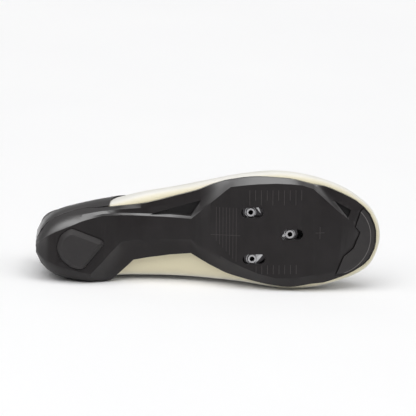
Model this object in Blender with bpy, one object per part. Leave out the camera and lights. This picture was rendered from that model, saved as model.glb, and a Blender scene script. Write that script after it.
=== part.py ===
"""Right-hand road cycling shoe, lying on its inner side with the sole facing the viewer.

Metres. The shoe is modelled on its sole: +X from heel to toe, +Y towards the inner side of
the foot, +Z up. A carrier then lays it on its inner side, so that in the world +X stays heel
to toe, the sole faces -Y and the outer side of the foot is on top.
"""
import math
from collections import namedtuple

import bmesh
import bpy
from mathutils import Matrix, Vector

# Last: the sizes that a last maker would give
SHOE_LENGTH = 0.283
BALL_WIDTH = 0.0965
HEEL_WIDTH = 0.062
INSTEP_HEIGHT = 0.080
HEEL_SEAT = 0.020
BALL_SEAT = 0.0083
TOE_SEAT = 0.019
ARCH_SHARE = 0.38
BALL_SHARE = 0.72

# Walls, edges and clearances
GAP = 0.0003
WALL = 0.002
LASTING_MARGIN = 0.008
FEATHER_INSET = 0.0023
SOLE_EDGE = 0.0035
CUP_CLEARANCE = 0.0004
CUP_WALL = 0.0018
CUP_FOOT = 0.0021
CUP_FRONT_WALL = 0.0009
INSOLE = 0.003
INSOLE_CLEARANCE = 0.001
TONGUE = 0.003
CUFF = 0.0045
CUFF_CLEARANCE = 0.00048
STRAP = 0.0015
REST_FLAT = 0.0006

# Tongue and straps
TONGUE_REACH = 0.022
TONGUE_RISE = 0.017
TONGUE_TAPER = 0.78
TONGUE_TAPER_SHARE = 0.714
TONGUE_STEPS = (0.35, 0.7, 1.0)
STRAP_CLEARANCE = 0.00045
TONGUE_CLEARANCE = 0.0008

# Pads, recesses and vents of the sole
PAD_RECESS = 0.0012
PAD_GROOVE = 0.0006
HEEL_PAD_CHAMFER = 0.0034
HEEL_PAD_CORNER = 0.003
TOE_PAD_PROUD = 0.0010
TOE_PAD_INSET = 0.0014
VENT_DEPTH = 0.0018
VENT_CORNER = 0.0012

# Cleat fixing: three slots on the standard triangle, with a sliding plate of three nuts
CLEAT_SPREAD = 0.0389
CLEAT_DEPTH = 0.0315
CLEAT_TURN = math.radians(-2.0)
CLEAT_REAR_SHARE = 0.6223
CLEAT_SIDE = -0.0018
NUT_BACK = 0.0035
NUT_FORWARD = 0.0065
SLOT_WIDTH = 0.0085
SLOT_CLEARANCE = 0.00035
NUT_BORE = 0.004
NUT_RIM = 0.0070
NUT_RIM_STEP = 0.0012
NUT_RECESS = 0.0018
PLATE = 0.0016
PLATE_MARGIN = 0.0065
POCKET_FLOOR = 0.0053
PLATE_SIDE_CLEARANCE = 0.0006

ROUND_STEPS = 24
PLATE_STEPS = 16

# Sole: x as a share of the length, z of the heel seat, the rest of the girth at that x.
# lateral and medial are its rim, flat_lateral and flat_medial the edges of its flat face.
Station = namedtuple("Station", "x lateral medial flat_lateral flat_medial z")
SOLE = [Station(*row) for row in (
    (0.001, -0.073, 0.229, -0.121, 0.177, 0.70),
    (0.011, 0.000, 0.302, -0.065, 0.234, 0.53),
    (0.032, 0.129, 0.444, 0.016, 0.306, 0.33),
    (0.057, 0.213, 0.531, 0.081, 0.363, 0.25),
    (0.092, 0.282, 0.587, 0.145, 0.416, 0.23),
    (0.134, 0.331, 0.624, 0.226, 0.468, 0.23),
    (0.159, 0.350, 0.635, 0.258, 0.487, 0.23),
    (0.193, 0.368, 0.639, 0.294, 0.327, 0.27),
    (0.219, 0.366, 0.587, 0.286, 0.188, 0.35),
    (0.247, 0.363, 0.457, 0.271, 0.066, 0.48),
    (0.283, 0.358, 0.297, 0.247, 0.048, 0.60),
    (0.325, 0.363, 0.253, 0.221, 0.043, 0.68),
    (0.389, 0.391, 0.205, 0.189, 0.038, 0.70),
    (0.449, 0.416, 0.176, 0.162, 0.037, 0.62),
    (0.477, 0.432, 0.224, 0.235, 0.073, 0.52),
    (0.505, 0.458, 0.267, 0.306, 0.119, 0.40),
    (0.534, 0.473, 0.301, 0.373, 0.164, 0.29),
    (0.562, 0.487, 0.330, 0.438, 0.207, 0.19),
    (0.601, 0.509, 0.361, 0.456, 0.257, 0.08),
    (0.643, 0.519, 0.392, 0.468, 0.308, 0.03),
    (0.693, 0.514, 0.420, 0.472, 0.347, 0.03),
    (0.735, 0.503, 0.432, 0.466, 0.348, 0.03),
    (0.767, 0.482, 0.422, 0.456, 0.340, 0.04),
    (0.800, 0.455, 0.407, 0.423, 0.323, 0.08),
    (0.834, 0.435, 0.399, 0.331, 0.301, 0.14),
    (0.869, 0.392, 0.370, 0.233, 0.278, 0.24),
    (0.905, 0.338, 0.334, 0.140, 0.245, 0.38),
    (0.929, 0.295, 0.300, 0.083, 0.210, 0.49),
    (0.951, 0.240, 0.262, 0.052, 0.165, 0.60),
    (0.969, 0.178, 0.213, 0.031, 0.120, 0.68),
    (0.983, 0.085, 0.130, 0.005, 0.070, 0.74),
    (0.9875, 0.030, 0.074, -0.005, 0.045, 0.76),
)]

# Between these shares of the length the inner rim is straight from station to station
WAIST_START, WAIST_END = 0.134, 0.534

# How the sole's sides run from the flat face to the rim: a narrow band first, its width and
# rise as shares of the whole side's, then a shoulder (0 straight, 1 as round as it gets)
Band = namedtuple("Band", "x lateral_out lateral_rise lateral_round medial_out medial_rise"
                          " medial_round")
BANDS = [Band(*row) for row in (
    (0.001, 0.30, 0.12, 0.35, 0.30, 0.12, 0.35),
    (0.092, 0.32, 0.12, 0.45, 0.30, 0.12, 0.45),
    (0.159, 0.25, 0.16, 0.60, 0.30, 0.15, 0.45),
    (0.219, 0.24, 0.32, 0.75, 0.28, 0.40, 0.30),
    (0.283, 0.18, 0.45, 0.75, 0.28, 0.60, 0.20),
    (0.389, 0.12, 0.75, 0.40, 0.28, 0.80, 0.00),
    (0.449, 0.09, 0.45, 0.40, 0.28, 0.70, 0.00),
    (0.477, 0.10, 0.14, 0.10, 0.28, 0.28, 0.00),
    (0.562, 0.30, 0.30, 0.00, 0.30, 0.30, 0.00),
    (0.800, 0.30, 0.30, 0.00, 0.30, 0.30, 0.00),
    (0.834, 0.25, 0.45, 0.00, 0.30, 0.30, 0.00),
    (0.905, 0.14, 0.38, 0.00, 0.30, 0.30, 0.00),
    (0.951, 0.12, 0.30, 0.00, 0.30, 0.30, 0.00),
    (0.9875, 0.30, 0.30, 0.00, 0.30, 0.30, 0.00),
)]
SHOULDER_SHARE = 0.6

# Upper, from the toe tip back to the heel: where each row leaves the sole (foot_x), its widest
# place on either side (wide_x, medial, lateral, heights as shares of the instep), and its top
# (top_x, the ridge's y, half the opening, heights), with close 1 where the row arches over.
Section = namedtuple("Section", "foot_x wide_x medial lateral wide_medial_z wide_lateral_z"
                                " top_x ridge open top_medial_z top_lateral_z close")
UPPER = [Section(*row) for row in (
    (0.9775, 1.004, 0.025, -0.025, 0.30, 0.30, 0.928, 0.031, 0.000, 0.50, 0.50, 1.0),
    (0.964, 0.983, 0.240, 0.179, 0.29, 0.29, 0.905, 0.034, 0.000, 0.54, 0.54, 1.0),
    (0.930, 0.944, 0.346, 0.297, 0.28, 0.28, 0.873, 0.037, 0.000, 0.58, 0.58, 1.0),
    (0.889, 0.895, 0.401, 0.400, 0.26, 0.26, 0.837, 0.041, 0.000, 0.62, 0.62, 1.0),
    (0.834, 0.834, 0.451, 0.475, 0.24, 0.24, 0.799, 0.045, 0.000, 0.66, 0.66, 1.0),
    (0.770, 0.770, 0.477, 0.524, 0.24, 0.24, 0.749, 0.050, 0.000, 0.71, 0.71, 1.0),
    (0.703, 0.700, 0.468, 0.547, 0.25, 0.25, 0.696, 0.055, 0.000, 0.78, 0.78, 1.0),
    (0.636, 0.636, 0.441, 0.531, 0.29, 0.28, 0.650, 0.058, 0.000, 0.83, 0.83, 1.0),
    (0.572, 0.572, 0.421, 0.500, 0.34, 0.31, 0.587, 0.060, 0.088, 0.90, 0.90, 0.5),
    (0.505, 0.505, 0.433, 0.477, 0.39, 0.35, 0.519, 0.066, 0.114, 0.99, 0.99, 0.3),
    (0.438, 0.438, 0.454, 0.460, 0.42, 0.38, 0.452, 0.083, 0.150, 1.07, 1.07, 0.2),
    (0.367, 0.371, 0.486, 0.450, 0.45, 0.39, 0.389, 0.099, 0.192, 1.16, 1.15, 0.1),
    (0.297, 0.304, 0.526, 0.441, 0.45, 0.40, 0.332, 0.114, 0.246, 1.24, 1.21, 0.0),
    (0.233, 0.240, 0.555, 0.410, 0.42, 0.40, 0.269, 0.118, 0.318, 1.07, 1.05, 0.0),
    (0.177, 0.184, 0.602, 0.380, 0.39, 0.40, 0.202, 0.118, 0.390, 0.88, 0.82, 0.0),
    (0.117, 0.120, 0.569, 0.316, 0.38, 0.38, 0.134, 0.110, 0.345, 0.85, 0.81, 0.0),
    (0.060, 0.058, 0.500, 0.218, 0.36, 0.36, 0.071, 0.100, 0.270, 0.91, 0.90, 0.0),
    (0.025, 0.020, 0.347, 0.048, 0.35, 0.35, 0.029, 0.092, 0.160, 0.99, 0.99, 0.0),
    (0.008, 0.008, 0.150, -0.150, 0.38, 0.38, 0.012, 0.092, 0.000, 1.01, 1.01, 0.0),
)]
# How the upper's curves leave their ends, as shares of the way to the other end
FOOT_OUT, FOOT_RISE, WIDEST_DROP = 0.8, 0.18, 0.6
OPEN_CLIMB, CLOSED_CLIMB = 0.40, 0.62
ARCH_ALONG, ARCH_OUT, THROAT_PULL = 0.45, 0.55, 0.38
HEEL_ROW = len(UPPER) - 1
RING_ROWS = 2 * HEEL_ROW
THROAT_ROW = 7
EYESTAY_ROW = 12
CUFF_EASE_ROW = 12.5
CUFF_ROW = 14.0
CUFF_START = 13.0
CUFF_SHARE = 0.66
CUP_START = 13.5
ROW_STEP = 0.5
SIDE_LEVELS = 3
TOP_LEVELS = 6
CUP_LEVELS = 3
# How far the cup's front edge stands back, in rows, from its lowest level to its top
CUP_FRONT = (-0.1, -0.1, -0.15, -0.25, -0.45, -0.8)
STATION_SPLIT = 0.022

# Straps, front to back: the rows of the upper between which each lies
Strap = namedtuple("Strap", "name front back")
STRAPS = (
    Strap("strap_front", 7.5, 8.5),
    Strap("strap_middle", 9.0, 10.0),
    Strap("strap_rear", 10.5, 11.5),
)
STRAP_MEDIAL_LEVEL = 4
STRAP_LATERAL_LEVEL = 3

# Outlines on the sole, as (x share of the length, y share of the girth there)
HEEL_PAD_OUTLINE = (
    (0.193, 0.033), (0.198, 0.082), (0.135, 0.429), (0.104, 0.403), (0.074, 0.293),
    (0.060, 0.131), (0.072, -0.040), (0.102, -0.135),
)
TOE_PAD_REAR = (
    (0.870, 0.325), (0.883, 0.232), (0.892, 0.173), (0.920, 0.111), (0.940, -0.026),
    (0.926, -0.078), (0.942, -0.210),
)
ARCH_VENT = ((0.330, -0.230), (0.478, -0.330), (0.450, -0.200))
TOE_VENT = ((0.862, -0.312), (0.912, -0.222), (0.902, -0.155))

# Densities for the balance of the parts, in kg per cubic metre
RUBBER, PLASTIC, LEATHER, CLOTH, STEEL = 1200.0, 1100.0, 900.0, 300.0, 7850.0


# Numbers along the shoe

def ease(t):
    t = min(1.0, max(0.0, t))
    return t * t * (3.0 - 2.0 * t)


def mix(a, b, t):
    return a + (b - a) * t


def girth(x):
    """The width that the shares at x are taken of: the heel's, then towards the ball's."""
    t = min(1.0, max(0.0, (x / SHOE_LENGTH - 0.2) / 0.35))
    return mix(HEEL_WIDTH, BALL_WIDTH, t)


def seat(x):
    """Height of the foot-bed's underside: heel, down through the arch to the ball, up to the toe."""
    share = x / SHOE_LENGTH
    if share <= BALL_SHARE:
        return mix(HEEL_SEAT, BALL_SEAT, ease((share - ARCH_SHARE) / (BALL_SHARE - ARCH_SHARE)))
    spring = (share - BALL_SHARE) / (1.0 - BALL_SHARE)
    return BALL_SEAT + (TOE_SEAT - BALL_SEAT) * 1.15 * spring * spring


def between(table, share, column):
    """A table's column at a share of the length, straight between its rows."""
    share = min(table[-1].x, max(table[0].x, share))
    after = next(i for i in range(1, len(table)) if share <= table[i].x)
    a, b = table[after - 1], table[after]
    return mix(getattr(a, column), getattr(b, column), (share - a.x) / (b.x - a.x))


def slope_at(row, column):
    """How a column of the sole's table changes with x at one of its rows."""
    a, b = SOLE[max(0, row - 1)], SOLE[min(len(SOLE) - 1, row + 1)]
    return (getattr(b, column) - getattr(a, column)) / (b.x - a.x)


def rim_curve(share, side):
    """The rim as a smooth curve through its stations."""
    share = min(SOLE[-1].x, max(SOLE[0].x, share))
    after = next(i for i in range(1, len(SOLE)) if share <= SOLE[i].x)
    a, b = SOLE[after - 1], SOLE[after]
    length = b.x - a.x
    start, end = getattr(a, side), getattr(b, side)
    out = start + slope_at(after - 1, side) * length / 3.0
    back = end - slope_at(after, side) * length / 3.0
    return bezier(start, out, back, end, (share - a.x) / length)


def sole_at(x, column):
    """A column of the sole's table at x, in metres. The rim is smooth but for the waist."""
    share = x / SHOE_LENGTH
    if column == "lateral" or (column == "medial" and not WAIST_START < share < WAIST_END):
        value = rim_curve(share, column)
    else:
        value = between(SOLE, share, column)
    return value * (HEEL_SEAT if column == "z" else girth(x))


def edge_low(x):
    """Height of the lower corner of the sole's rim."""
    return seat(x) - GAP - SOLE_EDGE


def side_profile(x, side):
    """(distance from the middle line, height) from the flat face's edge out to the rim.

    A narrow band comes first, then a shoulder that is straight on the forefoot and round
    at the heel.
    """
    share = x / SHOE_LENGTH
    flat, rim = sole_at(x, "flat_" + side), sole_at(x, side)
    low, high = sole_at(x, "z"), edge_low(x)
    out = between(BANDS, share, side + "_out")
    rise = between(BANDS, share, side + "_rise")
    drop = between(BANDS, share, side + "_round")
    shoulder_out = mix(out, 1.0, SHOULDER_SHARE)
    shoulder_rise = mix(rise, 1.0, SHOULDER_SHARE * (1.0 - drop))
    return [
        (flat, low),
        (mix(flat, rim, out), mix(low, high, rise)),
        (mix(flat, rim, shoulder_out), mix(low, high, shoulder_rise)),
        (rim, high),
    ]


def underside(x, y):
    """Height of the sole's lower face at a point."""
    profile = side_profile(x, "medial" if y > 0 else "lateral")
    if abs(y) <= profile[0][0]:
        return profile[0][1]
    for (y0, z0), (y1, z1) in zip(profile, profile[1:]):
        if abs(y) <= y1:
            return mix(z0, z1, (abs(y) - y0) / (y1 - y0))
    return profile[-1][1]


# The upper's surface: row numbers run 0 to 18 on the inner side and on to 36 on the outer

def ring_section(ring):
    """(foot, widest, top) of one row of the table, for a whole ring number."""
    ring %= RING_ROWS
    medial = ring <= HEEL_ROW
    row = UPPER[ring if medial else RING_ROWS - ring]
    sign = 1.0 if medial else -1.0
    side = "medial" if medial else "lateral"
    foot_x = row.foot_x * SHOE_LENGTH
    wide_x = row.wide_x * SHOE_LENGTH
    top_x = row.top_x * SHOE_LENGTH
    widest = Vector((
        wide_x,
        sign * getattr(row, side) * girth(wide_x),
        getattr(row, "wide_%s_z" % side) * INSTEP_HEIGHT,
    ))
    if ring in (0, HEEL_ROW):
        foot_y = widest.y
    else:
        foot_y = sign * (sole_at(foot_x, side) - FEATHER_INSET)
    foot = Vector((foot_x, foot_y, seat(foot_x)))
    top = Vector((
        top_x,
        (row.ridge + sign * row.open) * girth(top_x),
        getattr(row, "top_%s_z" % side) * INSTEP_HEIGHT,
    ))
    return foot, widest, top


def through(a, b, c, d, t):
    """Smooth curve from b to c through its neighbours a and d."""
    return 0.5 * ((2 * b) + (c - a) * t + (2 * a - 5 * b + 4 * c - d) * t * t
                  + (3 * b - a - 3 * c + d) * t ** 3)


def section(ring):
    """(foot, widest, top, close) of the upper at any ring number."""
    before = math.floor(ring)
    t = ring - before
    rows = [ring_section(before + k) for k in (-1, 0, 1, 2)]
    foot, widest, top = (through(*(row[i] for row in rows), t) for i in range(3))
    foot.z = seat(foot.x)
    place = row_place(ring)
    whole = min(HEEL_ROW - 1, int(place))
    a, b = UPPER[whole], UPPER[whole + 1]
    if place <= THROAT_ROW:
        top.y = mix(a.ridge, b.ridge, place - whole) * girth(top.x)
    return foot, widest, top, mix(a.close, b.close, place - whole)


def row_place(ring):
    """The row of the table that a ring number lies at, 0 at the toe and 18 at the heel."""
    ring %= RING_ROWS
    return ring if ring <= HEEL_ROW else RING_ROWS - ring


def bezier(a, b, c, d, t):
    s = 1.0 - t
    return a * s ** 3 + b * 3 * s * s * t + c * 3 * s * t * t + d * t ** 3


def side_point(ring, t):
    """From the sole's edge (0) out and up to the widest place (1)."""
    foot, widest, _, _ = section(ring)
    way = widest - foot
    out = foot + Vector((way.x * FOOT_OUT, way.y * FOOT_OUT, way.z * FOOT_RISE))
    rise = widest - Vector((0.0, 0.0, way.z * WIDEST_DROP))
    return bezier(foot, out, rise, widest, t)


def ridge_slope(ring):
    """How fast the ridge rises towards the toe at a row."""
    place = row_place(ring)
    ahead = section(max(0.0, place - ROW_STEP))[2]
    behind = section(min(HEEL_ROW, place + ROW_STEP))[2]
    return (ahead.z - behind.z) / (ahead.x - behind.x)


def top_point(ring, t):
    """From the widest place (0) up to the ridge or the edge of the opening (1)."""
    _, widest, top, close = section(ring)
    climb = mix(OPEN_CLIMB, CLOSED_CLIMB, close)
    rise = widest + Vector((0.0, 0.0, (top.z - widest.z) * climb))
    straight = top + (widest - top) / 3.0
    along = (widest.x - top.x) * ARCH_ALONG
    out = (widest.y - top.y) * ARCH_OUT
    arched = top + Vector((along, out, along * ridge_slope(ring)))
    return bezier(widest, rise, straight.lerp(arched, close), top, t)


def wall_top(ring):
    """The share of the upper part that is the upper's own wall: the cuff has the rest."""
    place = row_place(ring)
    return mix(1.0, CUFF_SHARE, ease((place - CUFF_EASE_ROW) / (CUFF_ROW - CUFF_EASE_ROW)))


def level_point(ring, level):
    """The surface at one of the levels that the upper, cup, straps and tongue share."""
    return top_point(ring, wall_top(ring) * level / TOP_LEVELS)


def inward(ring):
    """Level direction from the sole's edge towards the middle of the foot."""
    ahead = section(ring + 0.25)[0]
    behind = section(ring - 0.25)[0]
    along = ahead - behind
    return Vector((-along.y, along.x, 0.0)).normalized()


def ring_numbers(start, end):
    steps = round((end - start) / ROW_STEP)
    return [start + (end - start) * i / steps for i in range(steps + 1)]


# Meshes

def new_object(name, bm):
    mesh = bpy.data.meshes.new(name)
    bm.to_mesh(mesh)
    bm.free()
    obj = bpy.data.objects.new(name, mesh)
    bpy.context.scene.collection.objects.link(obj)
    return obj


def sheet(rows, closed=False):
    """A surface through rows of points that run round the shoe, each from low to high."""
    bm = bmesh.new()
    grid = [[bm.verts.new(point) for point in row] for row in rows]
    count = len(grid) if closed else len(grid) - 1
    for i in range(count):
        near, far = grid[i], grid[(i + 1) % len(grid)]
        for k in range(len(near) - 1):
            bm.faces.new((near[k], far[k], far[k + 1], near[k + 1]))
    bmesh.ops.remove_doubles(bm, verts=bm.verts, dist=1e-6)
    bmesh.ops.triangulate(bm, faces=bm.faces, quad_method="SHORT_EDGE")
    bm.normal_update()
    return bm


def push(bm, distance):
    """Moves a sheet along its normals."""
    for vert in bm.verts:
        vert.co += vert.normal * distance


def face_up(bm):
    """Turns a sheet over where it faces the foot."""
    if sum((face.normal for face in bm.faces), Vector()).z < 0:
        bmesh.ops.reverse_faces(bm, faces=bm.faces)
        bm.normal_update()


def solidify(obj, thickness, outward=False):
    wall = obj.modifiers.new("wall", "SOLIDIFY")
    wall.thickness = thickness
    wall.offset = 1.0 if outward else -1.0
    wall.use_even_offset = True
    wall.use_rim = True


def loft(name, rings):
    """A closed solid through rings with the same number of points, heel to toe."""
    bm = bmesh.new()
    grid = [[bm.verts.new(point) for point in ring] for ring in rings]
    for near, far in zip(grid, grid[1:]):
        for k in range(len(near)):
            n = (k + 1) % len(near)
            bm.faces.new((near[k], near[n], far[n], far[k]))
    bm.faces.new(grid[0])
    bm.faces.new(grid[-1])
    bmesh.ops.recalc_face_normals(bm, faces=bm.faces)
    return new_object(name, bm)


def prism(name, outline, low, high):
    """An upright solid on an outline of (x, y). low and high are heights, or lists of them."""
    lows = low if isinstance(low, list) else [low] * len(outline)
    highs = high if isinstance(high, list) else [high] * len(outline)
    bm = bmesh.new()
    bottom = [bm.verts.new((x, y, z)) for (x, y), z in zip(outline, lows)]
    top = [bm.verts.new((x, y, z)) for (x, y), z in zip(outline, highs)]
    for k in range(len(outline)):
        n = (k + 1) % len(outline)
        bm.faces.new((bottom[k], bottom[n], top[n], top[k]))
    bm.faces.new(bottom)
    bm.faces.new(top)
    bmesh.ops.recalc_face_normals(bm, faces=bm.faces)
    return new_object(name, bm)


def evaluated_mesh(obj):
    bpy.context.view_layer.update()
    graph = bpy.context.evaluated_depsgraph_get()
    return bpy.data.meshes.new_from_object(obj.evaluated_get(graph))


def settle(obj):
    """Makes the object's modifiers its mesh."""
    mesh = evaluated_mesh(obj)
    obj.modifiers.clear()
    obj.data = mesh
    obj.data.name = obj.name


def combine(obj, other, operation):
    """Cuts, joins or intersects with another object, which is used up."""
    step = obj.modifiers.new(operation.lower(), "BOOLEAN")
    step.operation = operation
    step.solver = "EXACT"
    step.object = other
    settle(obj)
    bpy.data.objects.remove(other)


def duplicate(obj, name, rise=0.0):
    copy = obj.copy()
    copy.data = obj.data.copy()
    copy.name = name
    bpy.context.scene.collection.objects.link(copy)
    copy.data.transform(Matrix.Translation((0.0, 0.0, rise)))
    return copy


def circle(centre, radius, steps=ROUND_STEPS):
    return [
        (centre[0] + radius * math.cos(2 * math.pi * k / steps),
         centre[1] + radius * math.sin(2 * math.pi * k / steps))
        for k in range(steps)
    ]


def hull_outline(points):
    """The convex outline round points, anticlockwise."""
    ordered = sorted(set(points))
    chains = []
    for sequence in (ordered, ordered[::-1]):
        chain = []
        for p in sequence:
            while len(chain) > 1 and turn(chain[-2], chain[-1], p) <= 1e-12:
                chain.pop()
            chain.append(p)
        chains.append(chain[:-1])
    return chains[0] + chains[1]


def turn(a, b, c):
    return (b[0] - a[0]) * (c[1] - a[1]) - (b[1] - a[1]) * (c[0] - a[0])


def offset_outline(outline, distance):
    """An anticlockwise outline grown by distance, or shrunk by a negative one."""
    grown = []
    for before, here, after in zip(outline[-1:] + outline[:-1], outline, outline[1:] + outline[:1]):
        a = (Vector(here) - Vector(before)).normalized()
        b = (Vector(after) - Vector(here)).normalized()
        normal = Vector((a.y + b.y, -a.x - b.x)).normalized()
        reach = distance / max(0.4, normal.dot(Vector((a.y, -a.x))))
        grown.append((here[0] + normal.x * reach, here[1] + normal.y * reach))
    return grown


def placed(outline):
    """An outline of shares as (x, y) in metres."""
    return [(x * SHOE_LENGTH, y * girth(x * SHOE_LENGTH)) for x, y in outline]


def rounded(outline, radius):
    """An outline with each corner cut to two short steps."""
    points = []
    for before, here, after in zip(outline[-1:] + outline[:-1], outline, outline[1:] + outline[:1]):
        corner = Vector(here)
        a = Vector(before) - corner
        b = Vector(after) - corner
        start = corner + a * min(0.4, radius / a.length)
        end = corner + b * min(0.4, radius / b.length)
        middle = (start + end + 2 * corner) / 4
        points += [tuple(start), tuple(middle), tuple(end)]
    return points


# Sole

def sole_ring(x):
    """The sole's section at x: outer rim, outer side, flat face, inner side, inner rim."""
    top = seat(x) - GAP
    lateral = [Vector((x, -y, z)) for y, z in side_profile(x, "lateral")]
    medial = [Vector((x, y, z)) for y, z in side_profile(x, "medial")]
    return ([Vector((x, lateral[-1].y, top))] + lateral[::-1]
            + medial + [Vector((x, medial[-1].y, top))])


def sole_stops():
    """The stations' places, with one more between two where the rim curves."""
    stops = []
    for a, b in zip(SOLE, SOLE[1:]):
        stops.append(a.x)
        if b.x - a.x > STATION_SPLIT:
            stops.append((a.x + b.x) / 2)
    return [share * SHOE_LENGTH for share in stops + [SOLE[-1].x]]


def cup_point(ring, level):
    """A point of the cup: sides first, then the upper part's levels. The front edge is notched."""
    place = row_place(ring)
    if place <= CUP_START:
        shift = CUP_FRONT[level]
        ring += shift if ring < HEEL_ROW else -shift
    if level < SIDE_LEVELS - 1:
        return side_point(ring, (level + 1) / SIDE_LEVELS)
    return level_point(ring, level - SIDE_LEVELS + 1)


def heel_cup():
    """The moulded cup that wraps the heel, from the upper's own surface, thin at its front edge."""
    levels = SIDE_LEVELS + CUP_LEVELS
    rings = ring_numbers(CUP_START, RING_ROWS - CUP_START)
    bm = sheet([[cup_point(ring, level) for level in range(levels)] for ring in rings])
    push(bm, CUP_CLEARANCE)
    lowest = set(list(bm.verts)[::levels])
    foot_edges = [edge for edge in bm.edges if lowest.issuperset(edge.verts)]
    dropped = bmesh.ops.extrude_edge_only(bm, edges=foot_edges)["geom"]
    for vert in (item for item in dropped if isinstance(item, bmesh.types.BMVert)):
        vert.co.z = seat(vert.co.x) - CUP_FOOT
    cup = new_object("heel_cup", bm)
    last = len(rings) * levels
    thin = set(range(levels)) | set(range(last - levels, last))
    thickness = cup.vertex_groups.new(name="thickness")
    for index in range(len(cup.data.vertices)):
        thickness.add([index], CUP_FRONT_WALL / CUP_WALL if index in thin else 1.0, "REPLACE")
    solidify(cup, CUP_WALL, outward=True)
    cup.modifiers["wall"].vertex_group = thickness.name
    settle(cup)
    return cup


def cleat_axis():
    return Vector((math.cos(CLEAT_TURN), math.sin(CLEAT_TURN), 0.0))


def nut_centres():
    """Rear outer, rear inner and front nut, at rest."""
    along = cleat_axis()
    across = Vector((-along.y, along.x, 0.0))
    middle = Vector((CLEAT_REAR_SHARE * SHOE_LENGTH, CLEAT_SIDE, 0.0))
    half = CLEAT_SPREAD / 2
    return [middle - across * half, middle + across * half, middle + along * CLEAT_DEPTH]


def swept(centre, radius, back, forward, steps=PLATE_STEPS):
    """Outline of a circle moved along the cleat's axis."""
    along = cleat_axis()
    points = []
    for move in (-back, forward):
        moved = centre + along * move
        points += circle((moved.x, moved.y), radius, steps)
    return points


def make_outsole():
    sole = loft("outsole", [sole_ring(x) for x in sole_stops()])
    combine(sole, heel_cup(), "UNION")
    plain = duplicate(sole, "sole_before_cuts")
    margin = PLATE_MARGIN + PLATE_SIDE_CLEARANCE
    pocket = []
    for centre in nut_centres():
        pocket += swept(centre, margin, NUT_BACK + GAP, NUT_FORWARD + GAP, PLATE_STEPS)
        slot = hull_outline(swept(centre, SLOT_WIDTH / 2, NUT_BACK, NUT_FORWARD))
        combine(sole, prism("slot", slot, -HEEL_SEAT, POCKET_FLOOR + GAP), "DIFFERENCE")
    combine(sole, prism("pocket", hull_outline(pocket), POCKET_FLOOR, HEEL_SEAT * 2), "DIFFERENCE")
    for vent in (ARCH_VENT, TOE_VENT):
        outline = rounded(placed(vent), VENT_CORNER)
        floor = [underside(x, y) + VENT_DEPTH for x, y in outline]
        combine(sole, prism("vent", outline, -HEEL_SEAT, floor), "DIFFERENCE")
    recess = offset_outline(heel_pad_outline(), PAD_GROOVE)
    combine(sole, prism("recess", recess, -HEEL_SEAT, heel_floor()), "DIFFERENCE")
    toe = prism("toe_recess", offset_outline(toe_pad_outline(), PAD_GROOVE), -HEEL_SEAT, HEEL_SEAT * 2)
    combine(toe, duplicate(plain, "kept", PAD_RECESS), "DIFFERENCE")
    combine(sole, toe, "DIFFERENCE")
    return sole, plain


def heel_floor():
    """Height of the heel pad's seat in the sole."""
    shares = [x for x, _ in HEEL_PAD_OUTLINE]
    over = [row.z for row in SOLE if min(shares) <= row.x <= max(shares)]
    return min(over) * HEEL_SEAT + PAD_RECESS


def heel_pad_outline(inset=0.0):
    return rounded(offset_outline(placed(HEEL_PAD_OUTLINE), -inset), HEEL_PAD_CORNER)


def make_heel_pad():
    """Rubber tread block with its outer edges chamfered down to the ground."""
    outline = heel_pad_outline()
    inner = heel_pad_outline(HEEL_PAD_CHAMFER)
    waist = heel_floor() - GAP - PAD_RECESS
    levels = ((outline, heel_floor() - GAP), (outline, waist), (inner, 0.0))
    return loft("heel_pad", [[Vector((x, y, z)) for x, y in line] for line, z in levels])


def toe_pad_outline():
    """Zigzag rear edge, then round the toe just inside the sole's rim, anticlockwise."""
    rear = placed(TOE_PAD_REAR)
    stops = [row.x * SHOE_LENGTH for row in SOLE]
    lateral = [(x, -sole_at(x, "lateral")) for x in stops if x > rear[-1][0]]
    medial = [(x, sole_at(x, "medial")) for x in stops if x > rear[0][0]]
    rim = offset_outline([(0.0, 0.0)] + lateral + medial[::-1], -TOE_PAD_INSET)[1:]
    return rear + rim


def make_toe_pad(plain):
    """Thin rubber skin on the toe that follows the sole's underside."""
    pad = prism("toe_pad", toe_pad_outline(), -HEEL_SEAT, HEEL_SEAT * 2)
    combine(pad, duplicate(plain, "lower", -TOE_PAD_PROUD), "INTERSECT")
    combine(pad, duplicate(plain, "upper_limit", PAD_RECESS - GAP), "DIFFERENCE")
    return pad


def make_cleat_nut_plate():
    """Steel plate with three threaded nuts that hang in the sole's slots."""
    centres = nut_centres()
    low = POCKET_FLOOR + GAP
    outline = []
    for centre in centres:
        outline += circle((centre.x, centre.y), PLATE_MARGIN, PLATE_STEPS)
    plate = prism("cleat_nut_plate", hull_outline(outline), low, low + PLATE)
    shoulder = SLOT_WIDTH / 2 - SLOT_CLEARANCE
    for centre in centres:
        spot = (centre.x, centre.y)
        rim_low = sole_at(centre.x, "z") + NUT_RECESS
        step = rim_low + NUT_RIM_STEP
        combine(plate, prism("shoulder", circle(spot, shoulder), step, low + PLATE / 2), "UNION")
        combine(plate, prism("rim", circle(spot, NUT_RIM / 2), rim_low, low + PLATE / 3), "UNION")
    for centre in centres:
        bore = prism("bore", circle((centre.x, centre.y), NUT_BORE / 2), -HEEL_SEAT, HEEL_SEAT)
        combine(plate, bore, "DIFFERENCE")
    return plate


# Upper and what is inside and on it

def make_upper():
    """One hollow wall: lasting margin under the foot, side, vamp, and the open throat and collar."""
    rows = []
    for ring in ring_numbers(0, RING_ROWS)[:-1]:
        foot = side_point(ring, 0.0)
        margin = foot + inward(ring) * LASTING_MARGIN
        margin.z = seat(margin.x)
        row = [margin]
        row += [side_point(ring, k / SIDE_LEVELS) for k in range(SIDE_LEVELS)]
        row += [level_point(ring, k) for k in range(TOP_LEVELS + 1)]
        rows.append(row)
    upper = new_object("upper", sheet(rows, closed=True))
    solidify(upper, WALL)
    settle(upper)
    return upper


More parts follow.
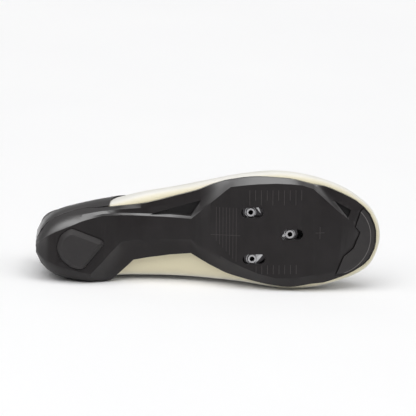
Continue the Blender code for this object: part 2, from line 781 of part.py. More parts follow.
def make_collar():
    """Padded cuff on the upper's top edge, round the heel from eyestay to eyestay."""
    rows = []
    for ring in ring_numbers(CUFF_START, RING_ROWS - CUFF_START):
        low = wall_top(ring)
        height = (top_point(ring, 1.0) - top_point(ring, low)).length
        start = low + (1.0 - low) * CUFF_CLEARANCE / height
        rows.append([top_point(ring, mix(start, 1.0, k / 3)) for k in range(4)])
    collar = new_object("collar", sheet(rows))
    solidify(collar, CUFF)
    settle(collar)
    return collar


def arch(medial, medial_below, lateral, lateral_below, t):
    """Across the throat from the inner edge (0) to the outer (1), in line with both sides."""
    pull = (medial - lateral).length * THROAT_PULL
    start = medial + (medial - medial_below).normalized() * pull
    end = lateral + (lateral - lateral_below).normalized() * pull
    return bezier(medial, start, end, lateral, t)


def across(place, medial_level, lateral_level):
    """Points over the foot at a row: outer side up, across the throat, inner side down."""
    medial = [level_point(place, k) for k in range(medial_level, TOP_LEVELS + 1)]
    lateral = [level_point(RING_ROWS - place, k) for k in range(lateral_level, TOP_LEVELS + 1)]
    if place <= THROAT_ROW:
        inner = [medial[-2].lerp(medial[-1], t) for t in (0.4, 0.7)]
        outer = [lateral[-2].lerp(lateral[-1], t) for t in (0.7, 0.4)]
        return lateral[:-1] + outer[::-1] + [medial[-1]] + inner[::-1] + medial[:-1][::-1]
    over = [arch(medial[-1], medial[-2], lateral[-1], lateral[-2], t) for t in (0.75, 0.5, 0.25)]
    return lateral + over + medial[::-1]


def make_tongue():
    """Padded tongue under the throat, from below the vamp to above the eyestay."""
    first = TOP_LEVELS - 1
    rows = [across(place, first, first) for place in ring_numbers(THROAT_ROW - 0.5, EYESTAY_ROW)]
    last = rows[-1]
    middle = last[len(last) // 2]
    for share in TONGUE_STEPS:
        shift = Vector((-TONGUE_REACH, 0.0, TONGUE_RISE)) * share
        narrow = mix(1.0, TONGUE_TAPER, ease(share / TONGUE_TAPER_SHARE))
        rows.append([
            Vector((p.x, mix(middle.y, p.y, narrow), p.z)) + shift for p in last
        ])
    bm = sheet(rows)
    face_up(bm)
    push(bm, -(WALL + TONGUE_CLEARANCE))
    tongue = new_object("tongue", bm)
    solidify(tongue, TONGUE)
    settle(tongue)
    return tongue


def make_strap(strap):
    """Flat strap sewn low on the inner side, over the throat, closed on the outer side."""
    places = ring_numbers(strap.front, strap.back)
    bm = sheet([across(place, STRAP_MEDIAL_LEVEL, STRAP_LATERAL_LEVEL) for place in places])
    face_up(bm)
    push(bm, STRAP_CLEARANCE)
    obj = new_object(strap.name, bm)
    solidify(obj, STRAP, outward=True)
    settle(obj)
    return obj


def inner_outline(first, last):
    """(x, y) just inside the wall at foot level, from one ring number to another."""
    points = []
    for ring in ring_numbers(first, last):
        foot = side_point(ring, 0.0)
        above = side_point(ring, 1.0 / SIDE_LEVELS)
        middle = HEEL_WIDTH * UPPER[HEEL_ROW].medial
        narrow = min(foot, above, key=lambda point: abs(point.y - middle))
        inside = narrow + inward(ring) * (WALL + INSOLE_CLEARANCE)
        points.append((inside.x, inside.y))
    return sorted(points)


def width_at(outline, x):
    """The y of an outline sorted by x, straight between its points."""
    for (x0, y0), (x1, y1) in zip(outline, outline[1:]):
        if x0 <= x < x1:
            return mix(y0, y1, (x - x0) / (x1 - x0))
    return outline[0][1] if x < outline[0][0] else outline[-1][1]


def make_insole():
    """Foot-bed that lies on the lasting margin."""
    medial = inner_outline(0, HEEL_ROW)
    lateral = inner_outline(HEEL_ROW, RING_ROWS)
    first = max(medial[0][0], lateral[0][0])
    last = min(medial[-1][0], lateral[-1][0])
    stops = [first] + [row.x * SHOE_LENGTH for row in SOLE] + [last]
    rings = []
    for x in sorted(x for x in stops if first <= x <= last):
        low = seat(x) + WALL + GAP
        outer, inner = width_at(lateral, x), width_at(medial, x)
        if inner - outer < WALL:
            continue
        rings.append([
            Vector((x, outer, low)), Vector((x, inner, low)),
            Vector((x, inner, low + INSOLE)), Vector((x, outer, low + INSOLE)),
        ])
    return loft("insole", rings)


# Finish and place

def material(name, colour, roughness, metallic=0.0):
    made = bpy.data.materials.new(name)
    made.use_nodes = True
    shader = made.node_tree.nodes["Principled BSDF"]
    shader.inputs["Base Color"].default_value = (*colour, 1.0)
    shader.inputs["Roughness"].default_value = roughness
    shader.inputs["Metallic"].default_value = metallic
    return made


def balance(objects):
    """Centre of mass, from each solid's volume and density."""
    mass = 0.0
    moment = Vector()
    for obj, density in objects:
        obj.data.calc_loop_triangles()
        verts = obj.data.vertices
        for tri in obj.data.loop_triangles:
            a, b, c = (verts[i].co for i in tri.vertices)
            weight = a.cross(b).dot(c) * density / 6.0
            mass += weight
            moment += (a + b + c) * (weight / 4.0)
    return moment / mass


def resting_turn(objects):
    """The turn that lays the shoe on its inner side, on the hull face under its weight."""
    bm = bmesh.new()
    for obj, _ in objects:
        for vert in obj.data.vertices:
            bm.verts.new(vert.co)
    hull = bmesh.ops.convex_hull(bm, input=bm.verts, use_existing_faces=False)
    centre = balance(objects)
    inner_side = Vector((0.0, 1.0, 0.0))
    down = inner_side
    for face in (item for item in hull["geom"] if isinstance(item, bmesh.types.BMFace)):
        normal = face.normal.copy()
        if (face.verts[0].co - centre).dot(normal) < 0:
            normal.negate()
        if normal.dot(inner_side) < 0.8:
            continue
        foot = centre + normal * (face.verts[0].co - centre).dot(normal)
        corners = [vert.co for vert in face.verts]
        turns = [
            (b - a).cross(foot - a).dot(normal)
            for a, b in zip(corners, corners[1:] + corners[:1])
        ]
        if min(turns) >= 0 or max(turns) <= 0:
            down = normal
    bm.free()
    forward = Vector((1.0, 0.0, 0.0))
    world_z = -down
    world_x = (forward - world_z * forward.dot(world_z)).normalized()
    world_y = world_z.cross(world_x)
    return Matrix((world_x, world_y, world_z)).to_4x4()


def flatten_rests(objects, turn_matrix):
    """Small flat spots, all in one plane, where the shoe's weight presses it on the floor."""
    floor = min((turn_matrix @ vert.co).z for obj, _ in objects for vert in obj.data.vertices)
    plane = floor + REST_FLAT
    for obj, _ in objects:
        if min((turn_matrix @ vert.co).z for vert in obj.data.vertices) > plane - GAP / 2:
            continue
        reach = SHOE_LENGTH
        square = [(-reach, -reach), (reach, -reach), (reach, reach), (-reach, reach)]
        below = prism("below", square, plane - reach, plane)
        below.data.transform(turn_matrix.inverted())
        combine(obj, below, "DIFFERENCE")


def lay_down(objects):
    """Parents every piece to a carrier that turns the shoe and stands it at the origin."""
    turn_matrix = resting_turn(objects)
    flatten_rests(objects, turn_matrix)
    points = [turn_matrix @ vert.co for obj, _ in objects for vert in obj.data.vertices]
    lows = Vector(min(point[i] for point in points) for i in range(3))
    highs = Vector(max(point[i] for point in points) for i in range(3))
    to_origin = Vector((-(lows.x + highs.x) / 2, -(lows.y + highs.y) / 2, -lows.z))
    carrier = bpy.data.objects.new("carrier", None)
    bpy.context.scene.collection.objects.link(carrier)
    carrier.matrix_world = Matrix.Translation(to_origin) @ turn_matrix
    for obj, _ in objects:
        obj.parent = carrier


def main():
    for obj in list(bpy.data.objects):
        bpy.data.objects.remove(obj)
    leather = material("upper_microfibre", (0.80, 0.77, 0.70), 0.55)
    shell = material("sole_shell", (0.025, 0.022, 0.023), 0.42)
    tread = material("tread_rubber", (0.02, 0.02, 0.02), 0.75)
    steel = material("nut_steel", (0.70, 0.70, 0.72), 0.3, 1.0)
    textile = material("lining_textile", (0.05, 0.05, 0.05), 0.85)
    bed = material("insole_foam", (0.04, 0.04, 0.045), 0.9)

    sole, plain = make_outsole()
    pieces = [
        (sole, shell, PLASTIC),
        (make_heel_pad(), tread, RUBBER),
        (make_toe_pad(plain), tread, RUBBER),
        (make_cleat_nut_plate(), steel, STEEL),
        (make_upper(), leather, LEATHER),
        (make_collar(), textile, CLOTH),
        (make_tongue(), textile, CLOTH),
        (make_insole(), bed, CLOTH),
    ]
    for strap in STRAPS:
        pieces.append((make_strap(strap), leather, LEATHER))
    bpy.data.objects.remove(plain)
    for obj, finish, _ in pieces:
        obj.data.materials.clear()
        obj.data.materials.append(finish)
        obj.data.shade_smooth()
        obj.data.set_sharp_from_angle(angle=math.radians(35))
    lay_down([(obj, density) for obj, _, density in pieces])


main()
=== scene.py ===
"""Right-hand road cycling shoe that lies on its inner side, sole towards the viewer.

The moulded sole keeps its crisp edges, the upper and the soft parts are smoothed and creased,
and the finishes, light and camera are added on the fixed frame.
"""
import math

import bmesh
import bpy
from mathutils import Matrix, Vector, noise
from mathutils.geometry import intersect_point_line


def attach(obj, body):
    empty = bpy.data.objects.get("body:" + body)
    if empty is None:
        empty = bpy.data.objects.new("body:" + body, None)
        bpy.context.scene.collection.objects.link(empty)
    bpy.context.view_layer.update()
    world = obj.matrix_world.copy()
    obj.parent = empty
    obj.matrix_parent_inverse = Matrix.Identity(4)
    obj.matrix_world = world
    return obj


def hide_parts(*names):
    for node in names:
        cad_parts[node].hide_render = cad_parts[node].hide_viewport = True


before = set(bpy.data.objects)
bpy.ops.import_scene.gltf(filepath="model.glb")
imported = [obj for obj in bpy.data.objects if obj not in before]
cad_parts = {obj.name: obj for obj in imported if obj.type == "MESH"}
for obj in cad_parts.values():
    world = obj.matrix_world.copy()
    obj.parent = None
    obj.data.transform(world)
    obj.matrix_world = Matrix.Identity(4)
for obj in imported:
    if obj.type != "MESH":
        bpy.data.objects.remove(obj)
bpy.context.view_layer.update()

# The shoe's own axes in the room: heel to toe, towards the inner side, from sole to instep
DOWN = Vector((-0.0401, 0.99914, 0.0108))
SHOE_PLACE = Vector((-0.14222, -0.0612, 0.03714))


def shoe_to_room():
    """Turns the shoe's own axes to how it lies on the floor."""
    forward = Vector((1.0, 0.0, 0.0))
    z = -DOWN.normalized()
    x = (forward - z * forward.dot(z)).normalized()
    turned = Matrix((x, z.cross(x), z)).to_4x4()
    turned.translation = SHOE_PLACE
    return turned


ROOM = shoe_to_room()
SHOE = ROOM.inverted()
ALONG, INNER, UP = (ROOM.to_3x3().col[i] for i in range(3))

# Where the black heel ends and the pale upper begins, and how far the seam leans forward
HEEL_SEAM = 0.061
HEEL_SEAM_HEIGHT = 0.030
HEEL_SEAM_LEAN = 0.55


# Materials: a number over the surface, and a finish made of them

class Amount:
    """A number that changes over a surface. Arithmetic on it adds Math nodes."""

    def __init__(self, finish, socket):
        self.finish = finish
        self.socket = socket

    def maths(self, operation, *values):
        return self.finish.node("ShaderNodeMath", {"operation": operation}, dict(enumerate(values)))

    def __add__(self, other):
        return self.maths("ADD", self, other)

    def __sub__(self, other):
        return self.maths("SUBTRACT", self, other)

    def __rsub__(self, other):
        return self.maths("SUBTRACT", other, self)

    def __mul__(self, other):
        return self.maths("MULTIPLY", self, other)

    def __truediv__(self, other):
        return self.maths("DIVIDE", self, other)

    def __abs__(self):
        return self.maths("ABSOLUTE", self)

    __radd__ = __add__
    __rmul__ = __mul__

    def over(self, limit):
        return self.maths("GREATER_THAN", self, limit)

    def under(self, limit):
        return self.maths("LESS_THAN", self, limit)

    def between(self, low, high):
        return self.over(low) * self.under(high)

    def either(self, other):
        return self.maths("MAXIMUM", self, other)

    def wave(self):
        return self.maths("SINE", self)

    def part(self):
        return self.maths("FRACT", self)

    def root(self):
        return self.maths("SQRT", self)

    def soft(self, low, high):
        """0 below low, 1 above high, smooth between."""
        values = {"Value": self, "From Min": low, "From Max": high}
        return self.finish.node("ShaderNodeMapRange", {"interpolation_type": "SMOOTHSTEP"}, values)


class Finish:
    """A material on a Principled shader, with the patterns that its surfaces share."""

    def __init__(self, name, **constants):
        self.material = bpy.data.materials.new(name)
        self.material.use_nodes = True
        self.tree = self.material.node_tree
        self.shader = self.tree.nodes["Principled BSDF"]
        for label, value in constants.items():
            self.shader.inputs[label.replace("_", " ")].default_value = value
        self.place = self.node("ShaderNodeTexCoord", output="Object")

    def node(self, kind, settings=None, values=None, output=0):
        made = self.tree.nodes.new(kind)
        for label, value in (settings or {}).items():
            setattr(made, label, value)
        for label, value in (values or {}).items():
            if isinstance(value, Amount):
                self.tree.links.new(value.socket, made.inputs[label])
            else:
                made.inputs[label].default_value = value
        return Amount(self, made.outputs[output])

    def feed(self, label, amount):
        self.tree.links.new(amount.socket, self.shader.inputs[label])

    def axis(self, direction):
        """Distance along one of the shoe's axes, in metres."""
        values = {0: self.place, 1: direction}
        dot = self.node("ShaderNodeVectorMath", {"operation": "DOT_PRODUCT"}, values, "Value")
        return dot - SHOE_PLACE.dot(direction)

    def facing(self, direction):
        """1 where the surface faces a direction, 0 where it is side-on, -1 where it faces away."""
        values = {0: self.node("ShaderNodeNewGeometry", output="Normal"), 1: direction}
        return self.node("ShaderNodeVectorMath", {"operation": "DOT_PRODUCT"}, values, "Value")

    def grain(self, scale, detail=2.0, roughness=0.5):
        values = {"Vector": self.place, "Scale": scale, "Detail": detail, "Roughness": roughness}
        return self.node("ShaderNodeTexNoise", None, values)

    def cells(self, scale):
        values = {"Vector": self.place, "Scale": scale}
        return self.node("ShaderNodeTexVoronoi", {"feature": "F1"}, values)

    def blend(self, amount, first, second):
        values = {"Factor": amount, 6: first, 7: second}
        return self.node("ShaderNodeMix", {"data_type": "RGBA"}, values, 2)

    def relief(self, height, depth, strength=1.0):
        values = {"Height": height, "Distance": depth, "Strength": strength}
        self.feed("Normal", self.node("ShaderNodeBump", None, values))


def shade(red, green, blue):
    """A colour from the 0 to 255 numbers of a screen."""
    return tuple(((c / 255 + 0.055) / 1.055) ** 2.4 if c > 10 else c / 3294.6
                 for c in (red, green, blue)) + (1.0,)


def line_set(position, start, spacing, count, width):
    """1 on each of a row of fine lines, start being the first one's centre."""
    shown = position.between(start - spacing / 2, start + (count - 0.5) * spacing)
    step = ((position - (start - spacing / 2)) / spacing).part() - 0.5
    return shown * abs(step).under(width / spacing / 2)


def inside(along, side, corners):
    """1 inside a flat outline whose corners (along, side) run against the clock, else 0."""
    amount = 1.0
    for (x, y), (next_x, next_y) in zip(corners, corners[1:] + corners[:1]):
        left = (side - y) * (next_x - x) - (along - x) * (next_y - y)
        amount = left.over(0.0) * amount
    return amount


# The two triangular recesses of the sole, painted dark as shade, (along, towards the outer side) in
# metres
ARCH_RECESS = ((0.0934, 0.0172), (0.1274, 0.0173), (0.1353, 0.0295))
TOE_RECESS = ((0.2439, 0.0301), (0.2553, 0.0150), (0.2581, 0.0214))

# The toe pad's fine line, raised and with a painted highlight, (centre along, centre sideways,
# radius), and its lower inner facet
TOE_HIGHLIGHT_ARC = (0.2444, -0.0017, 0.0304)
TOE_FACET = ((0.2568, -0.0144), (0.2675, -0.0055), (0.2665, 0.0043))

# The nuts' rims above the sole's lowest level, their middles, the radius of the painted highlight
# ring round each, and the plate's painted highlights beside them
NUT_RIM_HEIGHT = 0.0031
NUT_PLACES = ((0.1754, 0.0209), (0.1767, -0.0181), (0.2076, 0.0024))
NUT_RING = 0.0043
PLATE_GLINTS = (
    ((0.1800, 0.0245), (0.1843, 0.0190), (0.1815, 0.0262)),
    ((0.1795, -0.0225), (0.1862, -0.0145), (0.1800, -0.0145)),
    ((0.2010, 0.0010), (0.2035, -0.0020), (0.2045, 0.0040)),
)

# The duller flank in front of the heel: where it fades in and out, and its lower edge
FLANK_START, FLANK_END = (0.060, 0.072), (0.084, 0.090)
FLANK_EDGE = (0.0215, 0.0228)

# Rows of scale marks across the sole: the first one's place along, spacing, count and width,
# and where they start and end sideways. The rear row starts on a slant
SIDE_MARKS = (
    ((0.1745, 0.0094, 5, 0.0004), (0.0275, 0.0400)),
    ((0.1792, 0.0094, 5, 0.0004), (0.0315, 0.0400)),
    ((0.1800, 0.0047, 8, 0.0004), (-0.0300, -0.0225)),
)
REAR_MARKS, REAR_MARKS_END = (0.1475, 0.0027, 7, 0.00035), 0.0250
REAR_SLANT, REAR_SLANT_FOOT = 1.05, (0.1472, -0.0028)

# Single hairlines: place sideways with a run along, and place along with a run sideways
HAIR_WIDTH = 0.0002
LEVEL_HAIRS = ((0.0020, 0.1430, 0.1670), (0.0040, 0.2285, 0.2360))
CROSS_HAIR = (0.2322, -0.0010, 0.0090)


def scale_marks(along, side):
    """1 on the fine moulded marks that show where the cleat stands."""
    slant_x, slant_y = REAR_SLANT_FOOT
    marks = line_set(along, *REAR_MARKS) * side.under(REAR_MARKS_END)
    marks = marks * (side + (along - slant_x) * REAR_SLANT).over(slant_y)
    for row, (low, high) in SIDE_MARKS:
        marks = marks.either(line_set(along, *row) * side.between(low, high))
    for place, low, high in LEVEL_HAIRS:
        marks = marks.either(abs(side - place).under(HAIR_WIDTH) * along.between(low, high))
    place, low, high = CROSS_HAIR
    return marks.either(abs(along - place).under(HAIR_WIDTH) * side.between(low, high))


def sole_finish():
    """Moulded black, glossier off the flat, with fine scale marks round the cleat slots and painted
    shade in its two recesses.
    """
    made = Finish("moulded_sole", Specular_IOR_Level=0.3, Coat_Roughness=0.36, Coat_IOR=1.9)
    along, side = made.axis(ALONG), made.axis(-INNER)
    facing = made.facing(-UP)
    marks = scale_marks(along, side) * facing.over(0.93)
    mottle = made.grain(60.0, 3.0)
    fine = made.grain(2600.0, 2.0)
    shaded_recess = inside(along, side, ARCH_RECESS).either(inside(along, side, TOE_RECESS))
    plain = made.blend(mottle.soft(0.3, 0.7), shade(23, 19, 20), shade(29, 25, 26))
    marked = made.blend(marks * 0.75, plain, shade(72, 68, 68))
    # Painted shade: the two recesses are painted near-black.
    made.feed("Base Color", made.blend(shaded_recess * 0.8, marked, shade(8, 7, 8)))
    made.feed("Roughness", 0.36 + fine * 0.08 + mottle * 0.05 + marks * 0.1 + shaded_recess * 0.3)
    lit = made.facing(-INNER).soft(-0.15, 0.35)
    flank = along.soft(*FLANK_START) * (1.0 - along.soft(*FLANK_END)) * side.soft(*FLANK_EDGE)
    turned = (1.0 - facing.soft(0.80, 0.96)) * (1.0 - shaded_recess * 0.8) * (1.0 - flank * 0.75)
    made.feed("Coat Weight", turned * (0.15 + lit * 0.85))
    made.relief(fine * 0.35 - marks, 0.00012)
    return made.material


def rubber_finish():
    """Matte tread rubber with a fine pebble, and a raised fine line on the toe pad with a painted
    highlight along it.
    """
    made = Finish("tread_rubber", Roughness=0.62)
    pebble = made.cells(1500.0)
    dust = made.grain(90.0, 3.0)
    along, side = made.axis(ALONG) - TOE_HIGHLIGHT_ARC[0], made.axis(-INNER) - TOE_HIGHLIGHT_ARC[1]
    reach = (along * along + side * side).root()
    arc_highlight = abs(reach - TOE_HIGHLIGHT_ARC[2]).under(0.00025)
    facet = inside(made.axis(ALONG), made.axis(-INNER), TOE_FACET)
    plain = made.blend(dust.soft(0.35, 0.75), shade(34, 31, 32), shade(42, 39, 39))
    # Painted highlight: the fine line on the toe pad is painted light grey.
    made.feed("Base Color", made.blend(arc_highlight * 0.9, plain, shade(112, 108, 107)))
    made.feed("Roughness", 0.56 + dust * 0.14)
    made.relief(pebble * 0.5 - facet * 3.0 + arc_highlight * 2.0, 0.00010, 0.8)
    return made.material


def nut_finish():
    """Plated nut rims on a plate painted darker as the slots' shade, with painted highlights on the
    rims' edges, in rings and on bits of the plate, a little scratched.
    """
    made = Finish("plated_nuts", Metallic=1.0, Roughness=0.22)
    scratch = made.grain(900.0, 4.0, 0.7)
    rim = 1.0 - made.axis(UP).soft(NUT_RIM_HEIGHT, NUT_RIM_HEIGHT + 0.0002)
    # Painted highlights: the rims' bevelled edges, bits of the plate and a ring round each nut are
    # painted bright.
    edge = rim * (1.0 - made.facing(-UP).soft(0.75, 0.97))
    glint = edge
    along, side = made.axis(ALONG), made.axis(-INNER)
    for corners in PLATE_GLINTS:
        glint = glint.either(inside(along, side, corners) * (1.0 - rim))
    for x, y in NUT_PLACES:
        reach = ((along - x) * (along - x) + (side - y) * (side - y)).root()
        glint = glint.either(abs(reach - NUT_RING).under(0.0003) * (1.0 - rim) * 0.8)
    # The plate below the rims is painted dark as the shade in the slots.
    shaded_plate = made.blend(scratch, shade(58, 56, 58), shade(84, 82, 84))
    plated_rim = made.blend(scratch, shade(150, 149, 151), shade(186, 185, 187))
    painted_highlight = made.blend(scratch, shade(206, 206, 208), shade(238, 238, 240))
    made.feed("Base Color", made.blend(glint * 0.85, made.blend(rim, shaded_plate, plated_rim), painted_highlight))
    made.feed("Roughness", 0.34 - rim * 0.16 + scratch * 0.16)
    made.relief(scratch, 0.00003, 0.5)
    return made.material


# Pinholes over the toes: spacing, size as the square of a radius in spacings, run along,
# middle and half width sideways, and the height that they keep above
HOLE_PITCH = 0.0046
HOLE_SIZE = 0.013
HOLE_RUN = (0.2024, 0.2438)
HOLE_MIDDLE, HOLE_REACH = -0.002, 0.0207
HOLE_ABOVE = 0.040


def microfibre_finish(name, plain=0.0):
    """Cream microfibre: soft mottling, a pebbled grain and painted shade on the faces that turn the
    way the tread faces. Unless it is plain, it has pinholes over the toes, pressed in and painted
    dark as their shade, and a black part behind the heel seam."""
    made = Finish(name, Sheen_Weight=0.08, Specular_IOR_Level=0.35, Coat_Roughness=0.4)
    along, side, height = made.axis(ALONG), made.axis(-INNER), made.axis(UP)
    mottle = made.grain(35.0, 4.0, 0.6)
    pebble = made.cells(1150.0)
    fine = made.grain(3200.0, 2.0)
    row = along / HOLE_PITCH
    across = side / HOLE_PITCH
    ring = ((row.part() - 0.5) * (row.part() - 0.5)
            + (across.part() - 0.5) * (across.part() - 0.5))
    zone = (along.between(*HOLE_RUN) * abs(side - HOLE_MIDDLE).under(HOLE_REACH)
            * height.over(HOLE_ABOVE))
    holes = ring.under(HOLE_SIZE) * zone * (1.0 - plain)
    seam = along - (height - HEEL_SEAM_HEIGHT) * HEEL_SEAM_LEAN - HEEL_SEAM
    heel = seam.under(0.0) * (1.0 - plain)
    groove = 1.0 - abs(seam).soft(0.0002, 0.0008)
    # Painted shade: faces that turn the way the tread faces are painted a darker, yellower cream.
    underside_shade = made.facing(-UP).soft(0.25, 1.0)
    base_cream = made.blend(mottle.soft(0.3, 0.7), shade(228, 226, 218), shade(233, 231, 225))
    cream = made.blend(underside_shade, base_cream, shade(222, 214, 184))
    black = made.blend(mottle, shade(48, 44, 46), shade(58, 54, 56))
    # The pinholes are pressed in by the relief and painted dark as the shade inside them.
    pale = made.blend(holes, cream, shade(70, 66, 60))
    made.feed("Base Color", made.blend(heel, pale, black))
    made.feed("Coat Weight", heel * 0.8)
    made.feed("Roughness", 0.46 + fine * 0.10 + mottle * 0.06)
    made.relief(pebble * 0.5 + fine * 0.4 - holes * 4.0 - groove * 5.0 + mottle * 0.8, 0.00009)
    return made.material


def knit_finish(name, dark, light, pitch=0.0011):
    """Dense knit: two crossing waves of loops over a slow mottle."""
    made = Finish(name, Roughness=0.85, Sheen_Weight=0.25, Specular_IOR_Level=0.3)
    along, side, height = made.axis(ALONG), made.axis(-INNER), made.axis(UP)
    turns = 2.0 * math.pi / pitch
    loops = ((along + height * 0.6) * turns).wave() * ((side + height * 0.8) * turns).wave()
    mottle = made.grain(70.0, 3.0)
    made.feed("Base Color", made.blend(loops * 0.35 + mottle * 0.65, dark, light))
    made.feed("Roughness", 0.78 + mottle * 0.15)
    made.relief(loops + mottle * 0.4, 0.00025)
    return made.material


# Shapes: copies of the fixed pieces, smoothed or bevelled

def copy_of(node):
    """A node's shape with its triangles merged into faces, in the shoe's own axes."""
    bm = bmesh.new()
    bm.from_mesh(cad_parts[node].data)
    bmesh.ops.remove_doubles(bm, verts=bm.verts, dist=4e-6)
    bm.transform(SHOE)
    return bm


def finish_piece(name, bm, material, body, node):
    """Lays a piece in the room, gives it its finish and puts it on its body in a node's place."""
    bm.transform(ROOM)
    mesh = bpy.data.meshes.new(name)
    bm.to_mesh(mesh)
    bm.free()
    piece = bpy.data.objects.new(name, mesh)
    bpy.context.scene.collection.objects.link(piece)
    mesh.materials.append(material)
    mesh.shade_smooth()
    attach(piece, body)
    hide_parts(node)
    return piece


def keep_edges(bm, angle):
    """Marks the edges that are sharper than an angle, so that smoothing leaves them crisp."""
    layer = bm.edges.layers.float.get("crease_edge") or bm.edges.layers.float.new("crease_edge")
    for edge in bm.edges:
        if len(edge.link_faces) == 2 and edge.calc_face_angle() > angle:
            edge[layer] = 1.0


def subdivide(piece, levels):
    step = piece.modifiers.new("smooth", "SUBSURF")
    step.levels = levels
    step.render_levels = levels


def soften(piece, width, angle):
    """Rounds a hard piece's edges by a small radius."""
    step = piece.modifiers.new("edges", "BEVEL")
    step.width = width
    step.segments = 2
    step.limit_method = "ANGLE"
    step.angle_limit = math.radians(angle)
    step.harden_normals = True
    piece.data.set_sharp_from_angle(angle=math.radians(angle))


def baked(piece):
    """Makes the piece's modifiers its mesh."""
    bpy.context.view_layer.update()
    graph = bpy.context.evaluated_depsgraph_get()
    mesh = bpy.data.meshes.new_from_object(piece.evaluated_get(graph))
    piece.modifiers.clear()
    piece.data = mesh
    return piece


def soft_copy(node, name, material, body, levels=2, sharp=50.0):
    """A smoothed copy of a node. Edges sharper than an angle in degrees stay."""
    bm = copy_of(node)
    bmesh.ops.join_triangles(bm, faces=bm.faces, angle_face_threshold=math.radians(35),
                             angle_shape_threshold=math.radians(40))
    keep_edges(bm, math.radians(sharp))
    piece = finish_piece(name, bm, material, body, node)
    subdivide(piece, levels)
    return piece


def hard_copy(node, name, material, body, width, angle=30.0, shape=None):
    """A copy of a node with its sharp edges rounded by a width."""
    bm = copy_of(node)
    if shape:
        shape(bm)
    bmesh.ops.dissolve_limit(bm, angle_limit=math.radians(0.4), verts=bm.verts, edges=bm.edges)
    piece = finish_piece(name, bm, material, body, node)
    soften(piece, width, angle)
    return piece


# Sole, pads and nuts

# The heel cup's foot overhangs the sole's rim: their heights, and how far forward that goes
RIM_LOW, RIM_TOP = 0.0162, 0.0179
CUP_FRONT, CUP_END = 0.045, 0.068
HEEL_MIDDLE = Vector((0.040, 0.007))
SAME_SPOT = 0.0002

# How much of the overhang each edge takes up, and the longest one
LOW_SHARE, TOP_SHARE, LIP_SHARE = 0.6, 0.95, 0.8
LONGEST_SHIFT = 0.0035

# The outer edge of the cup's thin front part lies beyond this line (sideways at x = 0, slope)
LIP_LINE, LIP_SLOPE = -0.0150, -0.16


def nearest_on(edges, point):
    """The closest point, seen from above, on a run of edges."""
    best = None
    for edge in edges:
        start, end = (vert.co.xy for vert in edge.verts)
        spot, share = intersect_point_line(point, start, end)
        spot = start.lerp(end, min(1.0, max(0.0, share))) if not 0.0 <= share <= 1.0 else spot
        if best is None or (spot - point).length < (best - point).length:
            best = spot
    return best


def round_heel_wall(bm):
    """Draws the rim out under the cup's foot, and the foot's front in, to one moulded wall."""
    heel = [vert for vert in bm.verts if vert.co.x < CUP_END]
    low = [vert for vert in heel if abs(vert.co.z - RIM_LOW) < SAME_SPOT]
    level = [vert for vert in heel if abs(vert.co.z - RIM_TOP) < SAME_SPOT]
    over_rim = {vert for vert in level
                if any((vert.co.xy - rim.co.xy).length < SAME_SPOT for rim in low)}
    lip = {vert for vert in level
           if vert.co.x > CUP_FRONT and vert.co.y < LIP_LINE + LIP_SLOPE * vert.co.x}
    foot = [edge for edge in bm.edges
            if all(vert in level and vert not in over_rim for vert in edge.verts)]
    behind_lip = [edge for edge in bm.edges
                  if all(vert in level and vert not in lip for vert in edge.verts)]
    if not foot:
        return
    shares = [(vert, LOW_SHARE) for vert in low] + [(vert, TOP_SHARE) for vert in over_rim]
    for vert, share in shares:
        shift = nearest_on(foot, vert.co.xy) - vert.co.xy
        if shift.length < LONGEST_SHIFT and shift.dot(vert.co.xy - HEEL_MIDDLE) > 0.0:
            vert.co.xy += shift * share
    for vert in lip:
        vert.co.xy = vert.co.xy.lerp(nearest_on(behind_lip, vert.co.xy), LIP_SHARE)


def make_sole_parts():
    sole = sole_finish()
    rubber = rubber_finish()
    hard_copy("outsole", "sole_shell", sole, "shoe", 0.00035, angle=24.0,
              shape=round_heel_wall)
    hard_copy("heel_pad", "heel_tread", rubber, "shoe", 0.0005)
    hard_copy("toe_pad", "toe_tread", rubber, "shoe", 0.0003)
    hard_copy("cleat_nut_plate", "nut_plate", nut_finish(), "nut_plate", 0.0004)


# Upper and soft parts

# Creases and unevenness begin above this height over the sole
CREASES_ABOVE = 0.028

# Soft creases: (x, y, z) of the middle in metres, half length along y, width along x, depth
FLEX_CREASES = (
    (0.1960, -0.004, 0.062, 0.030, 0.0042, 0.00160),
    (0.2055, 0.002, 0.059, 0.026, 0.0038, 0.00140),
    (0.1865, 0.004, 0.066, 0.028, 0.0040, 0.00115),
)

# A crease sways along its length, fades out low on the sides and has a ridge on each side
SWAY, SWAY_LENGTH = 0.004, 0.012
FADE_BELOW, FADE = 0.022, 0.014
RIDGE_SHARE, RIDGE_PLACE = 0.6, 1.7


def crease_shift(point):
    """How far the surface is pressed in at a point, by the creases over the toes' bend."""
    shift = 0.0
    for x, y, z, half, width, depth in FLEX_CREASES:
        bend = (point.x - x - SWAY * math.sin((point.y - y) / SWAY_LENGTH)) / width
        reach = 1.0 - min(1.0, abs(point.y - y) / half) ** 2
        high = min(1.0, max(0.0, (point.z - z + FADE_BELOW) / FADE))
        ridges = RIDGE_SHARE * math.exp(-(abs(bend) - RIDGE_PLACE) ** 2)
        shift += depth * reach * high * (math.exp(-bend * bend) - ridges)
    return shift


def hand_feel(point):
    """Slow unevenness of a hand-pulled upper."""
    return noise.noise(Vector(point) * 45.0) * 0.00018


def shape_upper(piece):
    """Presses the creases and the unevenness into the upper, above the sole's edge."""
    mesh = piece.data
    normals = [vert.normal.copy() for vert in mesh.vertices]
    for vert, normal in zip(mesh.vertices, normals):
        point = SHOE @ vert.co
        if point.z < CREASES_ABOVE:
            continue
        vert.co -= normal * (crease_shift(point) + hand_feel(point))


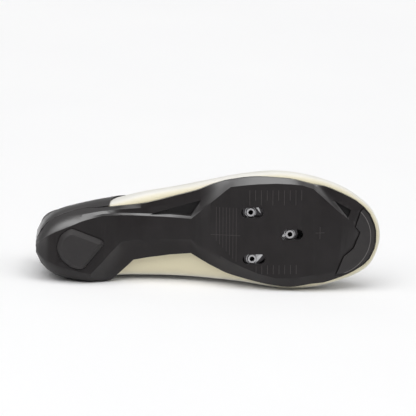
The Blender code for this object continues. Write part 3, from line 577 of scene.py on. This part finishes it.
def make_upper():
    cream = microfibre_finish("upper_microfibre")
    upper = baked(soft_copy("upper", "upper_wall", cream, "shoe"))
    shape_upper(upper)
    for node in ("strap_front", "strap_middle", "strap_rear"):
        soft_copy(node, node + "_band", microfibre_finish(node + "_microfibre", 1.0), "shoe")
    dark, light = shade(34, 32, 33), shade(70, 67, 68)
    collar = soft_copy("collar", "collar_padding", knit_finish("collar_knit", dark, light),
                       "shoe", sharp=60.0)
    tongue = soft_copy("tongue", "tongue_padding", knit_finish("tongue_knit", dark, light, 0.0014),
                       "shoe")
    cover = knit_finish("footbed_cover", shade(45, 45, 47), shade(66, 66, 68), 0.0009)
    soft_copy("insole", "footbed", cover, "shoe", levels=1, sharp=40.0)


# Room, light and camera

FLOOR_SIZE = 60.0
AIM = (0.1404, -0.0257, 0.0)
TILT_OUT = math.radians(12.0)
TILT_BACK = math.radians(2.5)
ROLL = math.radians(0.3)
LENS = 300.0
SENSOR = 36.0
VIEW_WIDTH = 0.3385


def make_camera():
    """A long lens that looks almost straight onto the sole, as in the photo."""
    back = Vector((-math.tan(TILT_BACK), -math.tan(TILT_OUT), -1.0)).normalized()
    outward = Vector((0.0, -1.0, 0.0))
    up = (outward - back * outward.dot(back)).normalized()
    turned = ROOM.to_3x3() @ Matrix((up.cross(back), up, back)).transposed()
    turned = turned @ Matrix.Rotation(ROLL, 3, "Z")
    data = bpy.data.cameras.new("camera")
    data.lens = LENS
    data.sensor_width = SENSOR
    data.clip_start = 0.05
    camera = bpy.data.objects.new("camera", data)
    distance = VIEW_WIDTH * LENS / SENSOR
    place = turned.to_4x4()
    place.translation = ROOM @ Vector(AIM) + turned.col[2] * distance
    camera.matrix_world = place
    bpy.context.scene.collection.objects.link(camera)
    bpy.context.scene.camera = camera


def softbox(name, place, aim, size, power):
    data = bpy.data.lights.new(name, "AREA")
    data.shape = "RECTANGLE"
    data.size, data.size_y = size
    data.energy = power
    light = bpy.data.objects.new(name, data)
    light.location = place
    light.rotation_euler = (Vector(aim) - Vector(place)).to_track_quat("-Z", "Y").to_euler()
    bpy.context.scene.collection.objects.link(light)


def sky_light(name, toward, strength, spread):
    """A wide, even light from one direction, so that the whole floor is equally pale."""
    data = bpy.data.lights.new(name, "SUN")
    data.energy = strength
    data.angle = math.radians(spread)
    light = bpy.data.objects.new(name, data)
    light.rotation_euler = Vector(toward).to_track_quat("Z", "Y").to_euler()
    bpy.context.scene.collection.objects.link(light)


# Even lights: name, direction they come from, strength, and spread in degrees
SKY_LIGHTS = (
    ("top_light", (-0.05, -0.38, 1.0), 1.86, 60.0),
    ("toe_light", (0.75, -0.45, 1.0), 0.55, 40.0),
    ("heel_light", (-0.85, -0.50, 0.9), 0.55, 50.0),
)
WORLD_LIGHT = 0.24


def make_room():
    """A pale floor without an end, and the light."""
    bm = bmesh.new()
    bmesh.ops.create_grid(bm, x_segments=2, y_segments=2, size=FLOOR_SIZE / 2)
    mesh = bpy.data.meshes.new("floor")
    bm.to_mesh(mesh)
    bm.free()
    floor = bpy.data.objects.new("floor", mesh)
    bpy.context.scene.collection.objects.link(floor)
    pale = Finish("pale_floor", Roughness=0.9, Specular_IOR_Level=0.1)
    pale.feed("Base Color", pale.blend(pale.grain(3.0), shade(243, 243, 244), shade(247, 247, 247)))
    mesh.materials.append(pale.material)
    for light in SKY_LIGHTS:
        sky_light(*light)
    softbox("front_light", (-0.7, -1.5, 1.3), (0.0, 0.0, 0.03), (0.8, 0.5), 3.0)
    world = bpy.data.worlds.new("studio")
    world.use_nodes = True
    backdrop = world.node_tree.nodes["Background"]
    backdrop.inputs["Color"].default_value = (1.0, 1.0, 1.0, 1.0)
    backdrop.inputs["Strength"].default_value = WORLD_LIGHT
    bpy.context.scene.world = world
    bpy.context.scene.view_settings.view_transform = "Standard"


make_sole_parts()
make_upper()
make_room()
make_camera()
